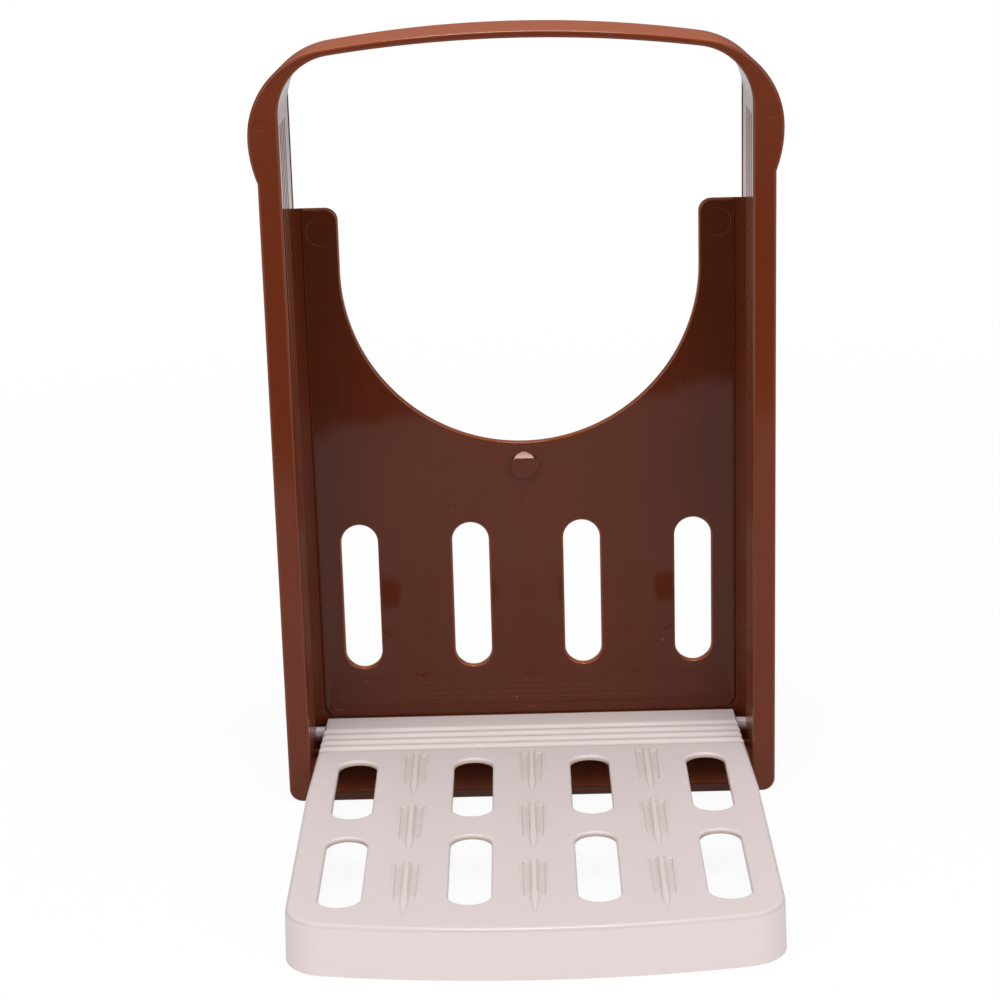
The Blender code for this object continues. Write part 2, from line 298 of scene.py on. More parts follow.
def maths(tree, operation, first, second=None, third=None, clamp=False):
    node = addNode(tree, "ShaderNodeMath", operation=operation, use_clamp=clamp)
    for place, value in enumerate((first, second, third)):
        if value is None:
            continue
        if isinstance(value, (int, float)):
            node.inputs[place].default_value = value
        else:
            tree.links.new(value, node.inputs[place])
    return node.outputs[0]


def noise(tree, vector, scale, detail=2.0, roughness=0.5):
    node = addNode(tree, "ShaderNodeTexNoise")
    node.inputs["Detail"].default_value = detail
    node.inputs["Roughness"].default_value = roughness
    tree.links.new(vector, node.inputs["Vector"])
    if isinstance(scale, (int, float)):
        node.inputs["Scale"].default_value = scale
    else:
        tree.links.new(scale, node.inputs["Scale"])
    return node.outputs["Fac"]


def objectPlace(tree, turn=(0, 0, 0), stretch=(1, 1, 1)):
    place = addNode(tree, "ShaderNodeTexCoord")
    mapping = addNode(tree, "ShaderNodeMapping")
    mapping.inputs["Rotation"].default_value = turn
    mapping.inputs["Scale"].default_value = stretch
    tree.links.new(place.outputs["Object"], mapping.inputs["Vector"])
    return mapping.outputs["Vector"]


def remap(tree, value, low, high, toLow=0.0, toHigh=1.0):
    node = addNode(tree, "ShaderNodeMapRange", clamp=True)
    tree.links.new(value, node.inputs["Value"])
    limits = (("From Min", low), ("From Max", high), ("To Min", toLow), ("To Max", toHigh))
    for label, number in limits:
        node.inputs[label].default_value = number
    return node.outputs["Result"]


def makeMouldFlow():
    # Slow clouds and upright streaks, as where the melt ran through the mould
    group, given, put = newGroup("mouldFlow", [("Cloud Scale", 40.0), ("Streak Scale", 260.0)],
                                 ["Clouds", "Streaks"])
    clouds = noise(group, objectPlace(group), given.outputs["Cloud Scale"], 3.0, 0.55)
    group.links.new(remap(group, clouds, *effectRange["clouds"]), put.inputs["Clouds"])
    upright = objectPlace(group, stretch=effectRange["streakStretch"])
    streaks = noise(group, upright, given.outputs["Streak Scale"], 2.0, 0.6)
    group.links.new(remap(group, streaks, *effectRange["streaks"]), put.inputs["Streaks"])
    return group


def makeEdgeWearAndLight():
    # Mask: how much the surface turns within a small radius, 1 along corners, 0 on the flats; it
    # paints a highlight along corners and makes them rougher.
    # Rim: roundings between a face that looks along the given axis and the sides of the piece,
    # where gate and plate get a painted highlight and the tray a painted shade.
    # Top: what looks up, which gets painted overhead light.
    inputs = [("Radius", 0.001), ("Ragged Scale", 700.0)]
    inputs += [("Axis X", 0.0), ("Axis Y", 1.0), ("Axis Z", 0.0)]
    group, given, put = newGroup("edgeWearAndPaintedLight", inputs, ["Mask", "Rim", "Top"])
    rounded = addNode(group, "ShaderNodeBevel", samples=8)
    group.links.new(given.outputs["Radius"], rounded.inputs["Radius"])
    surface = addNode(group, "ShaderNodeNewGeometry")
    compare = addNode(group, "ShaderNodeVectorMath", operation="DOT_PRODUCT")
    group.links.new(rounded.outputs["Normal"], compare.inputs[0])
    group.links.new(surface.outputs["Normal"], compare.inputs[1])
    turned = remap(group, compare.outputs["Value"], *effectRange["turned"])
    ragged = noise(group, objectPlace(group), given.outputs["Ragged Scale"], 3.0, 0.6)
    broken = maths(group, "MULTIPLY", turned, remap(group, ragged, *effectRange["ragged"]))
    group.links.new(broken, put.inputs["Mask"])
    axis = addNode(group, "ShaderNodeCombineXYZ")
    for letter in "XYZ":
        group.links.new(given.outputs["Axis " + letter], axis.inputs[letter])
    place = addNode(group, "ShaderNodeTexCoord")
    along = addNode(group, "ShaderNodeVectorMath", operation="DOT_PRODUCT")
    group.links.new(place.outputs["Normal"], along.inputs[0])
    group.links.new(axis.outputs["Vector"], along.inputs[1])
    facing = maths(group, "ABSOLUTE", along.outputs["Value"])
    rim = maths(group, "MULTIPLY", remap(group, facing, *effectRange["rimAlong"]),
                remap(group, facing, *effectRange["rimAcross"]))
    group.links.new(rim, put.inputs["Rim"])
    split = addNode(group, "ShaderNodeSeparateXYZ")
    group.links.new(place.outputs["Normal"], split.inputs["Vector"])
    group.links.new(remap(group, split.outputs["Z"], *effectRange["lookingUp"]), put.inputs["Top"])
    return group


def makeCrevice():
    # Shade that gathers in slots, pockets and corners
    inputs = [("Reach", 0.004), ("Open", 0.80), ("Closed", 0.30)]
    group, given, put = newGroup("crevice", inputs, ["Mask"])
    hidden = addNode(group, "ShaderNodeAmbientOcclusion", samples=8, only_local=True)
    group.links.new(given.outputs["Reach"], hidden.inputs["Distance"])
    spread = addNode(group, "ShaderNodeMapRange", clamp=True)
    group.links.new(hidden.outputs["AO"], spread.inputs["Value"])
    group.links.new(given.outputs["Open"], spread.inputs["From Min"])
    group.links.new(given.outputs["Closed"], spread.inputs["From Max"])
    group.links.new(spread.outputs["Result"], put.inputs["Mask"])
    return group


def makeFineGrain():
    # The moulded skin's tiny waviness, and specks of dust
    group, given, put = newGroup("fineGrain", [("Grain Scale", 1500.0), ("Speck Scale", 420.0)],
                                 ["Grain", "Specks"])
    grain = noise(group, objectPlace(group), given.outputs["Grain Scale"], 3.0, 0.6)
    group.links.new(grain, put.inputs["Grain"])
    dots = addNode(group, "ShaderNodeTexVoronoi", feature="F1")
    group.links.new(objectPlace(group), dots.inputs["Vector"])
    group.links.new(given.outputs["Speck Scale"], dots.inputs["Scale"])
    sparse = noise(group, objectPlace(group), effectRange["dotPatchScale"], 2.0, 0.5)
    specks = maths(group, "MULTIPLY", remap(group, dots.outputs["Distance"], *effectRange["dots"]),
                   remap(group, sparse, *effectRange["dotPatches"]))
    group.links.new(specks, put.inputs["Specks"])
    return group


def makeRubMarks():
    # Hair-thin rub marks in two directions, in patches
    group, given, put = newGroup("rubMarks", [("Scale", 800.0)], ["Marks"])
    masks = []
    for turn in effectRange["rubTurns"]:
        drawn = objectPlace(group, turn=turn, stretch=effectRange["rubStretch"])
        lines = noise(group, drawn, given.outputs["Scale"], 0.0)
        off = maths(group, "ABSOLUTE", maths(group, "SUBTRACT", lines, 0.5))
        masks.append(remap(group, off, *effectRange["rubWidth"]))
    patches = noise(group, objectPlace(group), effectRange["rubPatchScale"], 2.0, 0.5)
    both = maths(group, "MAXIMUM", masks[0], masks[1])
    marks = maths(group, "MULTIPLY", both, remap(group, patches, *effectRange["rubPatches"]))
    group.links.new(marks, put.inputs["Marks"])
    return group


effects = {
    "flow": makeMouldFlow(),
    "wearAndLight": makeEdgeWearAndLight(),
    "grain": makeFineGrain(),
    "rubs": makeRubMarks(),
    "crevice": makeCrevice(),
}


def effectNode(tree, kind, **values):
    node = addNode(tree, "ShaderNodeGroup", node_tree=effects[kind])
    for label, value in values.items():
        node.inputs[label.replace("_", " ")].default_value = value
    return node


def blendColour(tree, share, first, second):
    node = addNode(tree, "ShaderNodeMix", data_type="RGBA", clamp_factor=True)
    tree.links.new(share, node.inputs["Factor"])
    for label, value in (("A", first), ("B", second)):
        socket = [entry for entry in node.inputs if entry.name == label and entry.type == "RGBA"][0]
        if isinstance(value, tuple):
            socket.default_value = value + (1.0,)
        else:
            tree.links.new(value, socket)
    return [entry for entry in node.outputs if entry.type == "RGBA"][0]


def hollowShadeShares(tree, look):
    # Painted shade, in tan, on what lies inside the rim, and on the walls of grooves and slots
    # there, just below the top face
    place = addNode(tree, "ShaderNodeTexCoord")
    split = addNode(tree, "ShaderNodeSeparateXYZ")
    tree.links.new(place.outputs["Object"], split.inputs["Vector"])
    facing = addNode(tree, "ShaderNodeSeparateXYZ")
    tree.links.new(place.outputs["Normal"], facing.inputs["Vector"])
    side, front = look["hollowInside"]
    shallow, deep, deepest = look["hollowDepth"]
    inside = maths(tree, "LESS_THAN", maths(tree, "ABSOLUTE", split.outputs["X"]), side)
    inside = maths(tree, "MULTIPLY", inside, maths(tree, "GREATER_THAN", split.outputs["Y"], front))
    sunk = remap(tree, split.outputs["Z"], shallow, deep, 0.0, look["hollowShare"])
    sunk = maths(tree, "MULTIPLY", sunk, maths(tree, "GREATER_THAN", split.outputs["Z"], deepest))
    notUnder = remap(tree, facing.outputs["Z"], *effectRange["underside"])
    sunk = maths(tree, "MULTIPLY", sunk, notUnder)
    return inside, maths(tree, "MULTIPLY", inside, sunk)


def makePlastic(name, look):
    material = bpy.data.materials.new(name)
    material.use_nodes = True
    tree = material.node_tree
    shader = tree.nodes["Principled BSDF"]
    shader.inputs["Metallic"].default_value = 0.0
    shader.inputs["IOR"].default_value = look["ior"]
    shader.inputs["Sheen Weight"].default_value = look["sheen"]
    shader.inputs["Sheen Roughness"].default_value = look["sheenRoughness"]
    shader.inputs["Sheen Tint"].default_value = look["sheenTint"] + (1.0,)
    flow = effectNode(tree, "flow", Cloud_Scale=look["cloudScale"],
                      Streak_Scale=look["streakScale"])
    axisX, axisY, axisZ = look["rimAxis"]
    wearAndLight = effectNode(tree, "wearAndLight", Radius=look["edgeRadius"], Axis_X=axisX, Axis_Y=axisY,
                      Axis_Z=axisZ)
    crevice = effectNode(tree, "crevice", Reach=look["creviceReach"], Open=look["creviceOpen"],
                         Closed=look["creviceClosed"])
    grain = effectNode(tree, "grain", Grain_Scale=look["grainScale"])
    rubs = effectNode(tree, "rubs", Scale=look["rubScale"])
    cloudShare = maths(tree, "MULTIPLY", flow.outputs["Clouds"], look["cloudShare"])
    streakShare = maths(tree, "MULTIPLY", flow.outputs["Streaks"], look["streakShare"])
    paintedEdgeShare = maths(tree, "MULTIPLY", wearAndLight.outputs["Mask"], look["paintedEdgeShare"])
    paintedRimShare = maths(tree, "MULTIPLY", wearAndLight.outputs["Rim"], look["paintedRimShare"])
    paintedTopShare = maths(tree, "MULTIPLY", wearAndLight.outputs["Top"], look["paintedTopShare"])
    creviceShare = maths(tree, "MULTIPLY", crevice.outputs["Mask"], look["creviceShare"])
    speckShare = maths(tree, "MULTIPLY", grain.outputs["Specks"], look["speckShare"])
    colour = blendColour(tree, cloudShare, look["base"], look["cloud"])
    colour = blendColour(tree, streakShare, colour, look["streak"])
    # Painted highlight: corners lighter in the edge colour
    colour = blendColour(tree, paintedEdgeShare, colour, look["edge"])
    if "hollow" in look:
        inside, sunkShadeShare = hollowShadeShares(tree, look)
        paintedRimShare = maths(tree, "MULTIPLY", paintedRimShare, maths(tree, "SUBTRACT", 1.0, inside))
    # Painted highlight on the roundings of gate and plate, painted shade on the tray's top rim
    colour = blendColour(tree, paintedRimShare, colour, look["rim"])
    # Painted overhead light: faces that look up take the lighter top colour
    colour = blendColour(tree, paintedTopShare, colour, look["top"])
    colour = blendColour(tree, creviceShare, colour, look["crevice"])
    # Painted shade: tan on the walls of slots and grooves inside the tray's rim
    if "hollow" in look:
        colour = blendColour(tree, sunkShadeShare, colour, look["hollow"])
    colour = blendColour(tree, speckShare, colour, look["speck"])
    tree.links.new(colour, shader.inputs["Base Color"])
    dulled = maths(tree, "MULTIPLY_ADD", flow.outputs["Clouds"], look["roughnessCloud"],
                   look["roughness"])
    dulled = maths(tree, "MULTIPLY_ADD", wearAndLight.outputs["Mask"], look["roughnessEdge"], dulled)
    dulled = maths(tree, "MULTIPLY_ADD", wearAndLight.outputs["Top"], look["roughnessTop"], dulled)
    dulled = maths(tree, "MULTIPLY_ADD", rubs.outputs["Marks"], look["roughnessRub"], dulled)
    dulled = maths(tree, "MULTIPLY_ADD", grain.outputs["Specks"], look["roughnessSpeck"], dulled,
                   clamp=True)
    tree.links.new(dulled, shader.inputs["Roughness"])
    skin = addNode(tree, "ShaderNodeBump")
    skin.inputs["Strength"].default_value = look["grainStrength"]
    skin.inputs["Distance"].default_value = look["grainDepth"]
    height = maths(tree, "MULTIPLY_ADD", rubs.outputs["Marks"], effectRange["rubDepth"],
                   grain.outputs["Grain"])
    tree.links.new(height, skin.inputs["Height"])
    tree.links.new(skin.outputs["Normal"], shader.inputs["Normal"])
    return material


# Gate frame: side walls with their posts and ears, the arch and the floor bar, in one moulding

gateLook = {
    "base": (0.115, 0.0203, 0.0057), "cloud": (0.099, 0.0172, 0.0050), "cloudShare": 0.6,
    "streak": (0.131, 0.0244, 0.0071), "streakShare": 0.35,
    # edge, rim and top: painted highlight on corners and roundings, and painted overhead light on
    # faces that look up
    "edge": (0.160, 0.036, 0.0120), "paintedEdgeShare": 0.45, "edgeRadius": 0.0008,
    "rimAxis": (0.0, 1.0, 0.0), "rim": (0.175, 0.040, 0.0135), "paintedRimShare": 0.6,
    "top": (0.420, 0.112, 0.052), "paintedTopShare": 0.9,
    "crevice": (0.050, 0.0085, 0.0026), "creviceShare": 0.4, "creviceReach": 0.003,
    "creviceOpen": 0.40, "creviceClosed": 0.10,
    "speck": (0.30, 0.17, 0.12), "speckShare": 0.35,
    "cloudScale": 34.0, "streakScale": 420.0, "grainScale": 1300.0, "rubScale": 900.0,
    "roughness": 0.09, "roughnessCloud": 0.03, "roughnessEdge": 0.08, "roughnessRub": 0.02,
    "roughnessSpeck": 0.30, "roughnessTop": 0.38, "grainStrength": 0.04, "grainDepth": 0.00002,
    "ior": 1.40,
    "sheen": 0.02, "sheenRoughness": 0.35, "sheenTint": (0.95, 0.30, 0.14),
}

gate = {
    "front": 0.04355, "rear": 0.08035, "height": 0.2346, "rearDrop": 0.00096,
    "halfPost": 0.0750, "halfEar": 0.0773, "footRadius": 0.004,
    "earLowerRadius": 0.036, "earUpperRadius": 0.0256, "earTurn": math.radians(78.8),
    "archRise": 0.0044,
    "halfGap": 0.0681, "floorTop": 0.0034, "archThickness": 0.0023,
    "innerRise": 0.0035, "innerRadius": 0.017,
    "webOuter": 0.0704, "flange": 0.0023, "pocketTop": 0.2120, "pocketRadius": 0.005,
    "lipFace": 0.07865, "lipRear": 0.07915, "lipEdge": 0.0659, "lipTop": 0.1790, "lipFoot": 0.0140,
    "lipRadius": 0.005, "lipRoot": 0.0008, "upperLipEdge": 0.06792, "upperLipRear": 0.0797,
    "upperLipRise": 0.0078, "seatTop": 0.1787,
    "slits": (0.04925, 0.05425, 0.05925, 0.06425), "slitWidth": 0.002,
    "slitBottom": 0.0130, "slitTop": 0.2085, "crossReach": 0.08,
    "hingeY": 0.07155, "hingeZ": 0.0116, "holeRadius": 0.0029,
    "frontRounding": 0.00095, "rearRounding": 0.0005, "pocketRounding": 0.0003,
    "slitRounding": 0.00018, "lipRounding": 0.0002,
    "earMark": (0.07345, 0.2095, 0.0017), "markDepth": 0.00015,
}


def innerArch(size):
    # Round corner from the wall, then a shallow bow tangent to it, up to the middle
    top = size["height"] - size["archThickness"]
    radius = size["innerRadius"]
    cornerX = size["halfGap"] - radius
    cornerZ = top - size["innerRise"] - radius
    drop = size["innerRise"] + radius
    bowRadius = (cornerX ** 2 + drop ** 2 - radius ** 2) / (2 * size["innerRise"])
    meet = math.atan2(cornerZ - (top - bowRadius), cornerX)
    return cornerX, cornerZ, radius, meet, top - bowRadius


def gateOutline(size):
    foot = size["footRadius"]
    earZ = size["height"] - size["archRise"] - size["earUpperRadius"] * math.sin(size["earTurn"])
    lowerX = size["halfEar"] - size["earLowerRadius"]
    upperX = size["halfEar"] - size["earUpperRadius"]
    reach = size["halfEar"] - size["halfPost"]
    lowerTurn = math.acos((size["earLowerRadius"] - reach) / size["earLowerRadius"])
    halfSpan = upperX + size["earUpperRadius"] * math.cos(size["earTurn"])
    archRadius = (halfSpan ** 2 + size["archRise"] ** 2) / (2 * size["archRise"])
    archTurn = math.asin(halfSpan / archRadius)
    return [
        ("start", size["halfPost"] - foot, 0),
        ("arc", size["halfPost"] - foot, foot, quarter, 10),
        ("line", size["halfPost"], earZ - size["earLowerRadius"] * math.sin(lowerTurn)),
        ("arc", lowerX, earZ, lowerTurn, 12),
        ("arc", upperX, earZ, size["earTurn"], 36),
        ("arc", 0, size["height"] - archRadius, archTurn, 30),
    ]


def mouthOutline(size):
    cornerX, cornerZ, radius, meet, bowZ = innerArch(size)
    return [
        ("start", size["halfGap"], size["floorTop"]),
        ("line", size["halfGap"], cornerZ),
        ("arc", cornerX, cornerZ, meet, 24),
        ("arc", 0, bowZ, quarter - meet, 24),
    ]


def lipOutline(size):
    # Lip in front of the back plate's edge: down one wall, along the floor bar, up the other
    root = size["lipRoot"]
    lip = size["lipRadius"]
    return [
        ("start", 0, size["floorTop"] - root),
        ("line", size["halfGap"] + root, size["floorTop"] - root),
        ("line", size["halfGap"] + root, size["lipTop"]),
        ("line", size["lipEdge"], size["lipTop"]),
        ("line", size["lipEdge"], size["lipFoot"] + lip),
        ("arc", size["lipEdge"] - lip, size["lipFoot"] + lip, -quarter, 10),
        ("line", 0, size["lipFoot"]),
    ]


def upperLipOutline(size):
    # Narrow lip over the horns; its top ends inside the ear
    root = size["lipRoot"]
    cornerZ = innerArch(size)[1]
    return [
        ("start", size["lipEdge"], size["seatTop"]),
        ("line", size["halfGap"] + root, size["seatTop"]),
        ("line", size["halfGap"] + root, cornerZ + size["upperLipRise"]),
        ("line", size["upperLipEdge"], cornerZ + size["upperLipRise"]),
        ("line", size["upperLipEdge"], size["lipTop"]),
        ("line", size["lipEdge"], size["lipTop"]),
    ]


def pocketOutline(size):
    outer = size["halfEar"] + overcut
    corner = size["pocketRadius"]
    return [
        ("start", outer, size["floorTop"]),
        ("line", outer, size["pocketTop"]),
        ("line", size["webOuter"] + corner, size["pocketTop"]),
        ("arc", size["webOuter"] + corner, size["pocketTop"] - corner, quarter, 10),
        ("line", size["webOuter"], size["floorTop"]),
    ]


def addLips(item, size):
    lip = solid("plateLip", "front", size["lipFace"], size["lipRear"], lipOutline(size))
    combine(item, lip, "UNION")
    upperLips = solid("upperLips", "front", size["lipFace"], size["upperLipRear"],
                      upperLipOutline(size), half=False)
    combine(item, mirrorCopy(upperLips), "UNION")

    def onLip(place):
        return near(place.y, size["lipFace"]) and abs(place.x) < size["lipEdge"] + slack

    roundCorners(item, onLip, size["lipRounding"], 4)


def cutPockets(item, size):
    front = size["front"] + size["flange"]
    rear = size["rear"] - size["flange"]
    pocket = solid("pocketCut", "front", front, rear, pocketOutline(size), half=False)
    combine(item, mirrorCopy(pocket))
    postsFrom = size["halfPost"] - size["rearRounding"] - slack

    def onPocketRim(place):
        atSide = abs(place.x) > postsFrom and place.z > size["floorTop"]
        return atSide and (near(place.y, front) or near(place.y, rear))

    roundCorners(item, onPocketRim, size["pocketRounding"], 3)


def cutSlits(item, size):
    halfSlit = size["slitWidth"] / 2
    reach = size["crossReach"]
    for turn, y in enumerate(size["slits"]):
        strokes = [
            ("start", y - halfSlit, size["slitBottom"]),
            ("line", y + halfSlit, size["slitBottom"]),
            ("line", y + halfSlit, size["slitTop"]),
            ("line", y - halfSlit, size["slitTop"]),
        ]
        combine(item, solid(f"slitCut{turn}", "side", -reach, reach, strokes, half=False))

    def onSlitRim(place):
        beside = any(near(abs(place.y - y), halfSlit) for y in size["slits"])
        level = size["slitBottom"] - slack < place.z < size["slitTop"] + slack
        return near(abs(place.x), size["halfGap"]) and beside and level

    roundCorners(item, onSlitRim, size["slitRounding"], 2)


def makeGate():
    size = gate
    item = solid("gateFrame", "front", size["front"], size["rear"], gateOutline(size))
    draft = 1 - size["rearDrop"] / size["height"]
    scaleEnd(item, lambda place: near(place.y, size["rear"]), (draft, 1, draft))
    combine(item, solid("mouthCut", "front", size["front"] - overcut, size["rear"] + overcut,
                        mouthOutline(size)))
    roundPlane(item, "y", size["front"], size["frontRounding"], 5)
    roundPlane(item, "y", size["rear"], size["rearRounding"], 4)
    addLips(item, size)
    cutPockets(item, size)
    cutSlits(item, size)
    hinge = (0, size["hingeY"], size["hingeZ"])
    combine(item, cylinder("hingeHoles", size["holeRadius"], 2 * size["crossReach"], hinge, alongX))
    markX, markZ, markRadius = size["earMark"]
    for side in (-1, 1):
        combine(item, shallowDisc("earMark", side * markX, size["front"], markZ, markRadius,
                                  size["markDepth"]))
    material = makePlastic("glossyBrownGate", gateLook)
    finishPiece(item, material, "gate_frame", "gate")


# Back plate: wide round notch, two horns, four long slots and the catch nub

plateLook = dict(
    gateLook,
    base=(0.083, 0.0155, 0.0047), cloud=(0.069, 0.0126, 0.0039), streak=(0.094, 0.0177, 0.0054),
    # edge, rim and top: painted highlight on corners and roundings, and painted overhead light on
    # faces that look up
    edge=(0.140, 0.034, 0.0120), paintedEdgeShare=0.6, edgeRadius=0.0007,
    rim=(0.240, 0.060, 0.0220), paintedRimShare=0.8, top=(0.360, 0.095, 0.036),
    roughness=0.048, roughnessCloud=0.012, grainStrength=0.02,
)

plate = {
    "face": 0.07795, "rear": 0.08035, "flangeFront": 0.07925,
    "half": 0.0658, "flangeHalf": 0.0678, "top": 0.1790, "bottom": 0.0143, "flangeBottom": 0.0037,
    "bottomRadius": 0.0047, "hornRadius": 0.0008, "flangeRadius": 0.0005,
    "notchHalf": 0.0547, "notchZ": 0.1590, "hornInnerRadius": 0.004,
    "slotPitch": 0.0349, "slotWidth": 0.01145, "slotBottom": 0.0310, "slotTop": 0.0785,
    "frontRounding": 0.00078, "rearRounding": 0.0004,
    "nubZ": 0.0972, "nubRadius": 0.004, "nubReach": 0.0018, "nubRoot": 0.001, "nubRounding": 0.0002,
    "hornMark": (0.0602, 0.1719, 0.00425),
    "footMarks": ((-0.0610, 0.0190, 0.0021), (0.0006, 0.0188, 0.0021)), "markDepth": 0.00010,
}


def plateOutline(half, bottom, top, bottomRadius, topRadius):
    return [
        ("start", half - bottomRadius, bottom),
        ("arc", half - bottomRadius, bottom + bottomRadius, quarter, 10),
        ("line", half, top - topRadius),
        ("arc", half - topRadius, top - topRadius, quarter, 5),
    ]


def notchOutline(size):
    # Round bottom, straight sides, and horns with a round inner corner
    inner = size["hornInnerRadius"]
    return [
        ("start", size["notchHalf"] + inner, size["top"] + overcut),
        ("line", size["notchHalf"] + inner, size["top"]),
        ("arc", size["notchHalf"] + inner, size["top"] - inner, quarter, 14),
        ("line", size["notchHalf"], size["notchZ"]),
        ("arc", 0, size["notchZ"], -quarter, 48),
    ]


def makeNub(size):
    # Round, with a ramp that runs down and forwards from its crown
    depth = size["nubReach"] + size["nubRoot"]
    middle = (0, size["face"] - size["nubReach"] + depth / 2, size["nubZ"])
    nub = cylinder("catchNub", size["nubRadius"], depth, middle, alongY, vertices=64)
    openWhole(nub)
    crown = size["nubZ"] + size["nubRadius"]
    bpy.ops.mesh.bisect(plane_co=(0, size["face"], crown), plane_no=(0, -1, 1), use_fill=True,
                        clear_outer=True)
    bpy.ops.object.mode_set(mode="OBJECT")
    roundCorners(nub, lambda place: place.y < size["face"] - slack / 2, size["nubRounding"], 3)
    return nub


def makePlate():
    size = plate
    middle = (size["flangeFront"] + size["rear"]) / 2
    front = size["face"] - overcut
    rear = size["rear"] + overcut
    body = plateOutline(size["half"], size["bottom"], size["top"],
                        size["bottomRadius"], size["hornRadius"])
    flange = plateOutline(size["flangeHalf"], size["flangeBottom"], size["top"],
                          size["flangeRadius"], size["flangeRadius"])
    item = solid("backPlate", "front", size["face"], middle, body)
    combine(item, solid("plateFlange", "front", size["flangeFront"], size["rear"], flange), "UNION")
    combine(item, solid("notchCut", "front", front, rear, notchOutline(size)))
    combine(item, rowOfHoles("plateSlots", "front", front, rear, size["slotPitch"],
                             size["slotBottom"], size["slotTop"], size["slotWidth"]))
    roundPlane(item, "y", size["face"], size["frontRounding"], 4)
    roundPlane(item, "y", size["rear"], size["rearRounding"], 3)
    combine(item, makeNub(size), "UNION")
    markX, markZ, markRadius = size["hornMark"]
    marks = [(-markX, markZ, markRadius), (markX, markZ, markRadius)] + list(size["footMarks"])
    for x, z, radius in marks:
        combine(item, shallowDisc("plateMark", x, size["face"], z, radius, size["markDepth"]))
    material = makePlastic("glossyBrownPlate", plateLook)
    finishPiece(item, material, "back_plate", "gate")


# Tray: slotted top with knife ridges and wedges, skirt, round nose and hinge stubs

trayLook = {
    "base": (0.66, 0.575, 0.565), "cloud": (0.635, 0.550, 0.540), "cloudShare": 0.5,
    "streak": (0.675, 0.590, 0.580), "streakShare": 0.3,
    # edge and top: painted highlight on corners and painted overhead light on faces that look up;
    # rim: painted shade on the top rim's rounding
    "edge": (0.675, 0.590, 0.580), "paintedEdgeShare": 0.35, "edgeRadius": 0.0011,
    "rimAxis": (0.0, 0.0, 1.0), "rim": (0.480, 0.410, 0.405), "paintedRimShare": 0.65,
    "top": (0.675, 0.592, 0.585), "paintedTopShare": 0.6,
    "crevice": (0.49, 0.390, 0.330), "creviceShare": 0.4, "creviceReach": 0.0025,
    "creviceOpen": 0.85, "creviceClosed": 0.35,
    # hollow: painted shade, in tan, on slot and groove walls inside the rim
    "hollow": (0.44, 0.275, 0.150), "hollowShare": 0.85, "hollowInside": (0.0645, -0.069),
    "hollowDepth": (0.0143, 0.0133, 0.0131),
    "speck": (0.50, 0.42, 0.38), "speckShare": 0.2,
    "cloudScale": 26.0, "streakScale": 180.0, "grainScale": 1100.0, "rubScale": 700.0,
    "roughness": 0.22, "roughnessCloud": 0.06, "roughnessEdge": 0.06, "roughnessRub": 0.04,
    "roughnessSpeck": 0.12, "roughnessTop": 0.0, "grainStrength": 0.10, "grainDepth": 0.00004,
    "ior": 1.46,
    "sheen": 0.0, "sheenRoughness": 0.5, "sheenTint": (1.0, 1.0, 1.0),
}

tray = {
    "front": -0.08035, "rear": 0.07755, "top": 0.0149, "half": 0.0671, "rearHalf": 0.0650,
    "flare": 0.00045, "straightFrom": 0.01355, "chamferWidth": 0.0006, "chamferLength": 0.0009,
    "frontBow": 0.005, "cornerRadius": 0.0125, "topThickness": 0.0015, "wall": 0.0018,
    "rimRounding": 0.0012, "slotRounding": 0.0007,
    "slotPitch": 0.0352, "slotWidth": 0.0117,
    "slotRows": ((-0.06445, -0.01845), (-0.00495, 0.03925)),
    "hingeY": 0.07155, "hingeZ": 0.0116, "noseRadius": 0.006,
    "raisedFrom": 0.04315, "raised": 0.0056,
    "grooves": (0.06425, 0.05925, 0.05425, 0.04925), "grooveDepth": 0.0007, "crestRadius": 0.0022,
    "crestDrop": 0.00003, "stripFront": 0.06895, "stripDrop": 0.0004, "stripSlope": 0.0004,
    "belowFloor": 0.0001, "ridgeOvercut": 0.003, "crossReach": 0.07,
    "stubRadius": 0.0021, "stubEnd": 0.0699, "stubRounding": 0.0005,
}

wedge = {
    "rears": (0.04275, 0.00235, -0.03805), "columns": (-0.0352, 0.0, 0.0352),
    "crest": ((0.00105, -0.0010), (0.00100, 0.0), (0.00055, 0.00100)),
    "crestStations": ((0.0190, 1.0, 0.80), (0.0245, 1.4, 0.45), (0.0340, 0.20, 0.06)),
    "rim": ((0.0043, -0.0010), (0.0042, 0.0), (0.00385, 0.00022),
            (0.00355, 0.00022), (0.0032, 0.0), (0.0031, -0.0010)),
    "rimStations": ((0.0170, 0.98, 0.9), (0.0235, 0.94, 0.10)),
    "pocketFrom": 0.0007, "pocketTo": 0.0031, "pocketDepth": 0.0004,
    "pocketLength": (0.0190, 0.0225), "pocketRounding": 0.0003, "reachBehind": 0.0004,
}


def trayOutline(size, inset):
    half = size["half"] - inset
    rearHalf = size["rearHalf"] - inset
    rear = size["rear"] - inset
    front = size["front"] + inset
    radius = size["cornerRadius"] - inset
    cornerX = half - radius
    drop = size["frontBow"] + radius
    bowRadius = (cornerX ** 2 + drop ** 2 - radius ** 2) / (2 * size["frontBow"])
    bowY = front + bowRadius
    cornerY = front + drop
    meet = math.atan2(bowY - cornerY, cornerX)
    return [
        ("start", rearHalf - size["chamferWidth"], rear),
        ("line", rearHalf, rear - size["chamferLength"]),
        ("line", half, size["straightFrom"]),
        ("line", half, cornerY),
        ("arc", cornerX, cornerY, -meet, 20),
        ("arc", 0, bowY, meet - quarter, 28),
    ]


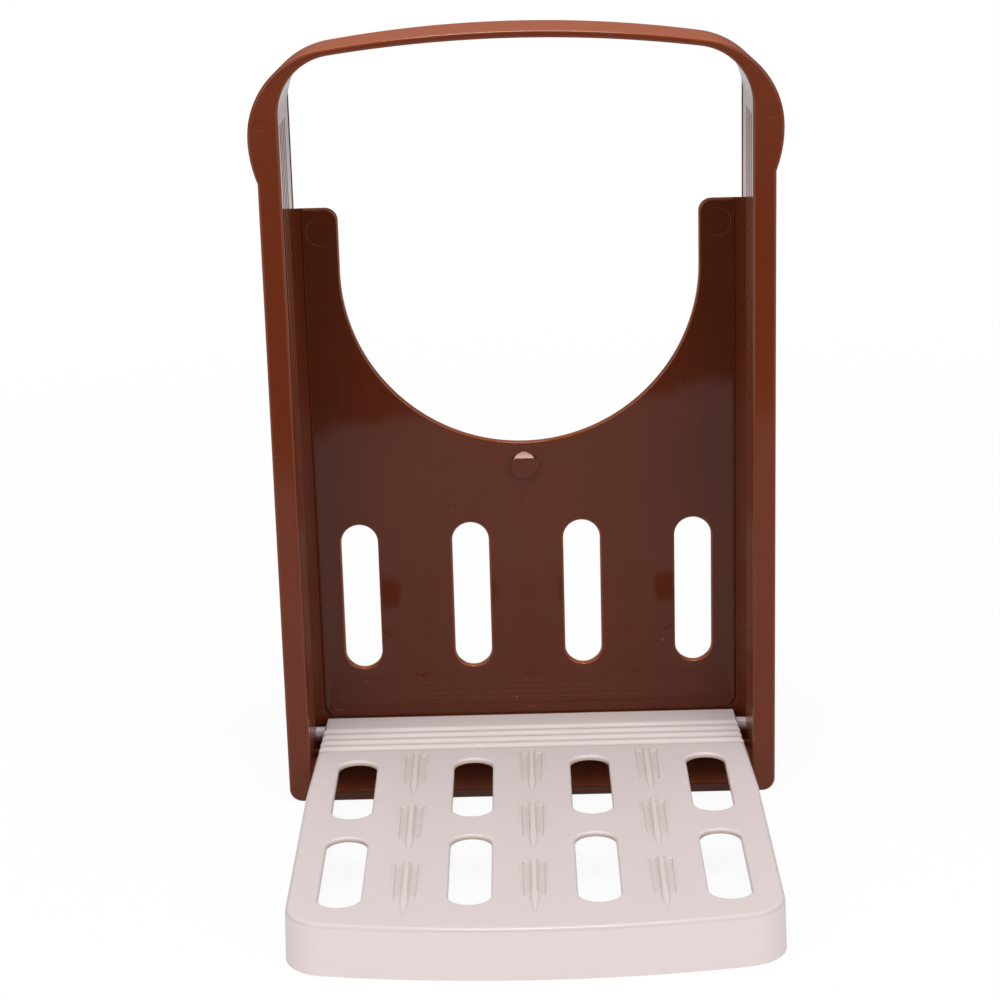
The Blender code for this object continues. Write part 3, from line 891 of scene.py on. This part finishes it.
def trayProfile(size):
    # Side view: skirt to the floor in front of the gate, raised inside it, round nose at the hinge
    rise = math.asin((size["top"] - size["hingeZ"]) / size["noseRadius"])
    return [
        ("start", size["front"] - overcut, -size["belowFloor"]),
        ("line", size["raisedFrom"], -size["belowFloor"]),
        ("line", size["raisedFrom"], size["raised"]),
        ("line", size["hingeY"], size["raised"]),
        ("arc", size["hingeY"], size["hingeZ"], quarter + rise, 24),
        ("line", size["hingeY"], size["top"] + overcut),
        ("line", size["front"] - overcut, size["top"] + overcut),
    ]


def ridgeProfile(size):
    # Underside of the cutter that leaves the knife ridges: round crests and round troughs
    crest = size["top"] - size["crestDrop"]
    pitch = size["grooves"][0] - size["grooves"][1]
    turn = 2 * math.atan(size["grooveDepth"] / (pitch / 2))
    radii = (pitch / 2) / math.sin(turn)
    crestRadius = size["crestRadius"]
    troughRadius = radii - crestRadius
    strip = size["top"] - size["stripDrop"]
    strokes = [
        ("start", size["rear"] + size["ridgeOvercut"], strip),
        ("line", size["stripFront"], strip),
        ("line", size["stripFront"] - size["stripSlope"], crest),
        ("line", size["grooves"][0] + pitch / 2, crest),
        ("arc", size["grooves"][0] + pitch / 2, crest - crestRadius, turn, 3),
    ]
    last = size["grooves"][-1]
    for y in size["grooves"]:
        strokes.append(("arc", y, crest - size["grooveDepth"] + troughRadius, -2 * turn, 10))
        more = turn if y == last else 2 * turn
        strokes.append(("arc", y - pitch / 2, crest - crestRadius, more, 3 if y == last else 6))
    strokes += [
        ("line", last - pitch / 2, size["top"] + size["ridgeOvercut"]),
        ("line", size["rear"] + size["ridgeOvercut"], size["top"] + size["ridgeOvercut"]),
    ]
    return strokes


def drawnForward(name, section, stations, rear, top, half):
    # A cross-section at the rear end, drawn out station by station to the front:
    # each station gives its distance, its width and its height
    strokes = [("start", section[0][0], top + section[0][1])]
    strokes += [("line", x, top + height) for x, height in section[1:]]
    item = drawOutline(name, "front", rear, strokes, half)
    before = (0.0, 1.0, 1.0)
    for station in stations:
        step = (0, before[0] - station[0], 0)
        bpy.ops.mesh.extrude_region_move(TRANSFORM_OT_translate={"value": step})
        bpy.ops.transform.resize(value=(station[1] / before[1], 1, station[2] / before[2]),
                                 center_override=(0, 0, top))
        before = station
    selectAll()
    bpy.ops.mesh.normals_make_consistent(inside=False)
    bpy.ops.object.mode_set(mode="OBJECT")
    return item


def spreadWedges(item, size):
    # The rear left one is modelled; the rest are its copies
    openWhole(item)
    bpy.ops.transform.translate(value=(size["columns"][0], 0, 0))
    bpy.ops.object.mode_set(mode="OBJECT")
    copyAlong(item, (size["columns"][1] - size["columns"][0], 0, 0), len(size["columns"]))
    openWhole(item)
    for turn in range(len(size["rears"]) - 1):
        bpy.ops.mesh.duplicate()
        bpy.ops.transform.translate(value=(0, size["rears"][turn + 1] - size["rears"][turn], 0))
    bpy.ops.object.mode_set(mode="OBJECT")
    return item


def addWedges(item, size, top):
    rear = size["rears"][0]
    inner, outer = size["pocketFrom"], size["pocketTo"]
    strokes = [
        ("start", inner, rear),
        ("line", outer, rear),
        ("line", outer, rear - size["pocketLength"][1]),
        ("line", inner, rear - size["pocketLength"][0]),
    ]
    pocket = solid("wedgePockets", "plan", top - size["pocketDepth"], top + overcut, strokes,
                   half=False)
    combine(item, spreadWedges(mirrorCopy(pocket), size))
    sides = [(column, reach) for column in size["columns"] for reach in (inner, outer)]

    def onPocketRim(place):
        beside = any(near(abs(place.x - column), reach) for column, reach in sides)
        return near(place.z, top) and beside

    roundCorners(item, onPocketRim, size["pocketRounding"], 2)
    behind = rear + size["reachBehind"]
    crest = drawnForward("wedgeCrest", size["crest"], size["crestStations"], behind, top, half=True)
    combine(item, spreadWedges(crest, size), "UNION")
    rim = drawnForward("wedgeRims", size["rim"], size["rimStations"], behind, top, half=False)
    combine(item, spreadWedges(mirrorCopy(rim), size), "UNION")


def makeStub(size):
    root = size["rearHalf"] - size["wall"] / 2
    middle = ((size["stubEnd"] + root) / 2, size["hingeY"], size["hingeZ"])
    stub = cylinder("hingeStub", size["stubRadius"], size["stubEnd"] - root, middle, alongX)
    roundPlane(stub, "x", size["stubEnd"], size["stubRounding"], 4)
    return mirrorCopy(stub)


def makeTray():
    size = tray
    item = solid("foldingTray", "plan", 0.0, size["top"], trayOutline(size, 0.0))
    scaleEnd(item, lambda place: near(place.z, 0), (1 + size["flare"] / size["half"], 1, 1))
    roundPlane(item, "z", size["top"], size["rimRounding"], 6)
    rows = [rowOfHoles("traySlots", "plan", -overcut, size["top"] + overcut, size["slotPitch"],
                       front, rear, size["slotWidth"]) for front, rear in size["slotRows"]]
    combine(item, joined(rows))   # one cut for both rows keeps their rims free of stray points
    roundPlane(item, "z", size["top"], size["slotRounding"], 4)
    combine(item, solid("hollowCut", "plan", -overcut, size["top"] - size["topThickness"],
                        trayOutline(size, size["wall"])))
    reach = size["crossReach"]
    profile = solid("profileKeep", "side", -reach, reach, trayProfile(size), half=False)
    combine(item, profile, "INTERSECT")
    combine(item, solid("ridgeCut", "side", -reach, reach, ridgeProfile(size), half=False))
    addWedges(item, wedge, size["top"])
    combine(item, makeStub(size), "UNION")
    material = makePlastic("satinCreamTray", trayLook)
    finishPiece(item, material, "tray", "tray")


makeGate()
makePlate()
makeTray()


# Camera at the photograph's place

view = {
    "place": (0.00032, -0.69865, 0.3126),
    "turnLeft": math.radians(0.600), "tiltDown": math.radians(16.284), "roll": math.radians(1.605),
    "focalPixels": 2586.5, "framePixels": 1000, "sensorWidth": 36.0,
}


def aimCamera():
    leaveEditMode()
    bpy.ops.object.camera_add(location=view["place"])
    camera = bpy.context.object
    camera.name = "photoCamera"
    yaw, tilt, roll = -view["turnLeft"], view["tiltDown"], view["roll"]
    level = math.cos(tilt)
    ahead = Vector((math.sin(yaw) * level, math.cos(yaw) * level, -math.sin(tilt)))
    right = Vector((math.cos(yaw), -math.sin(yaw), 0.0))
    down = ahead.cross(right)
    rolledRight = math.cos(roll) * right + math.sin(roll) * down
    rolledDown = -math.sin(roll) * right + math.cos(roll) * down
    turned = Matrix((rolledRight, -rolledDown, -ahead)).transposed().to_4x4()
    camera.matrix_world = Matrix.Translation(view["place"]) @ turned
    camera.data.sensor_width = view["sensorWidth"]
    camera.data.lens = view["sensorWidth"] * view["focalPixels"] / view["framePixels"]
    bpy.context.scene.camera = camera


# Light: a pale tent, a soft lamp overhead and two in front

light = {
    "ambient": 0.62,
    "lamps": (
        ("overheadLamp", (0.0, -0.24, 1.25), 0.34, 6.6),
        ("frontLampLeft", (-0.95, -1.15, 0.80), 1.10, 7.3),
        ("frontLampRight", (0.95, -1.15, 0.80), 1.10, 8.0),
    ),
    "tentMirror": 0.12,           # what gloss sees of the tent
}

floorLook = {
    "size": 8.0, "shade": (0.80, 0.79, 0.79),
    "white": (0.25, 0.80, 0.93, 1.0),     # from, to, and the share of white at each
    "sheetEdge": -0.320, "sheetSkew": 0.318, "sheetBlur": 0.003,
    "sheetWaver": 0.12, "waverScale": 26.0, "sheetGlow": 0.64, "frontGlow": 0.06,
    "farFront": (-1.5, -0.85, 0.30, 0.0),
    "behind": (0.06, 0.20), "behindGlow": (1.0, 1.6, 0.85, 0.58),
    "sides": (0.35, 0.55, 0.0, 0.8),
}


def addLamp(name, place, size, power, target=(0, 0.04, 0.08)):
    leaveEditMode()
    bpy.ops.object.light_add(type="AREA", location=place)
    lamp = bpy.context.object
    lamp.name = name
    lamp.data.shape = "SQUARE"
    lamp.data.size = size
    lamp.data.energy = power
    lamp.rotation_mode = "QUATERNION"
    lamp.rotation_quaternion = (Vector(target) - Vector(place)).to_track_quat("-Z", "Y")
    lamp.visible_camera = False


def makeWorld():
    world = bpy.data.worlds.new("paleTent")
    bpy.context.scene.world = world
    world.use_nodes = True
    tree = world.node_tree
    tree.nodes.clear()
    rays = addNode(tree, "ShaderNodeLightPath")
    shine = addNode(tree, "ShaderNodeMix", data_type="FLOAT")
    tree.links.new(rays.outputs["Is Glossy Ray"], shine.inputs["Factor"])
    shine.inputs["A"].default_value = light["ambient"]
    shine.inputs["B"].default_value = light["tentMirror"]
    strength = maths(tree, "MAXIMUM", rays.outputs["Is Camera Ray"], shine.outputs["Result"])
    back = addNode(tree, "ShaderNodeBackground")
    back.inputs["Color"].default_value = (1, 1, 1, 1)
    tree.links.new(strength, back.inputs["Strength"])
    put = addNode(tree, "ShaderNodeOutputWorld")
    tree.links.new(back.outputs["Background"], put.inputs["Surface"])


def floorGlow(tree, seen, place, split, look):
    # How bright gloss sees the floor: bright to the sides, behind, and on a sheet in front
    ragged = noise(tree, place, look["waverScale"], 2.0, 0.5)
    waver = maths(tree, "MULTIPLY", ragged, look["sheetWaver"])
    skewed = maths(tree, "MULTIPLY_ADD", split.outputs["X"], look["sheetSkew"], split.outputs["Y"])
    farFront = remap(tree, split.outputs["Y"], *look["farFront"])
    sheet = remap(tree, maths(tree, "ADD", skewed, waver), look["sheetEdge"] - look["sheetBlur"],
                  look["sheetEdge"] + look["sheetBlur"], look["frontGlow"], look["sheetGlow"])
    behind = maths(tree, "MULTIPLY", remap(tree, split.outputs["Y"], *look["behind"]),
                   remap(tree, split.outputs["Y"], *look["behindGlow"]))
    sides = remap(tree, maths(tree, "ABSOLUTE", split.outputs["X"]), *look["sides"])
    glow = seen
    for part in (sides, sheet, behind, farFront):
        glow = maths(tree, "MAXIMUM", glow, part)
    return glow


def makeFloorMaterial(look):
    material = bpy.data.materials.new("palePaper")
    material.use_nodes = True
    tree = material.node_tree
    tree.nodes.clear()
    rays = addNode(tree, "ShaderNodeLightPath")
    seen = rays.outputs["Is Camera Ray"]
    place = addNode(tree, "ShaderNodeTexCoord").outputs["Object"]
    split = addNode(tree, "ShaderNodeSeparateXYZ")
    tree.links.new(place, split.inputs["Vector"])
    away = addNode(tree, "ShaderNodeVectorMath", operation="LENGTH")
    tree.links.new(place, away.inputs[0])
    whiteShare = remap(tree, away.outputs["Value"], *look["white"])
    share = maths(tree, "MULTIPLY", seen, whiteShare)
    share = maths(tree, "MAXIMUM", share, rays.outputs["Is Glossy Ray"])
    paper = addNode(tree, "ShaderNodeBsdfDiffuse")
    paper.inputs["Color"].default_value = look["shade"] + (1.0,)
    white = addNode(tree, "ShaderNodeEmission")
    tree.links.new(floorGlow(tree, seen, place, split, look), white.inputs["Strength"])
    mix = addNode(tree, "ShaderNodeMixShader")
    tree.links.new(share, mix.inputs["Fac"])
    tree.links.new(paper.outputs["BSDF"], mix.inputs[1])
    tree.links.new(white.outputs["Emission"], mix.inputs[2])
    put = addNode(tree, "ShaderNodeOutputMaterial")
    tree.links.new(mix.outputs["Shader"], put.inputs["Surface"])
    return material


def makeFloor():
    leaveEditMode()
    bpy.ops.mesh.primitive_plane_add(size=floorLook["size"], location=(0, 0, 0))
    floor = bpy.context.object
    floor.name = "paleFloor"
    openWhole(floor)
    bpy.ops.mesh.subdivide(number_cuts=4)
    bpy.ops.object.mode_set(mode="OBJECT")
    floor.data.materials.append(makeFloorMaterial(floorLook))


aimCamera()
for name, place, size, power in light["lamps"]:
    addLamp(name, place, size, power)
makeWorld()
makeFloor()
bpy.context.scene.view_settings.view_transform = "Standard"
print("camera, lamps and floor set")

bpy.context.view_layer.update()
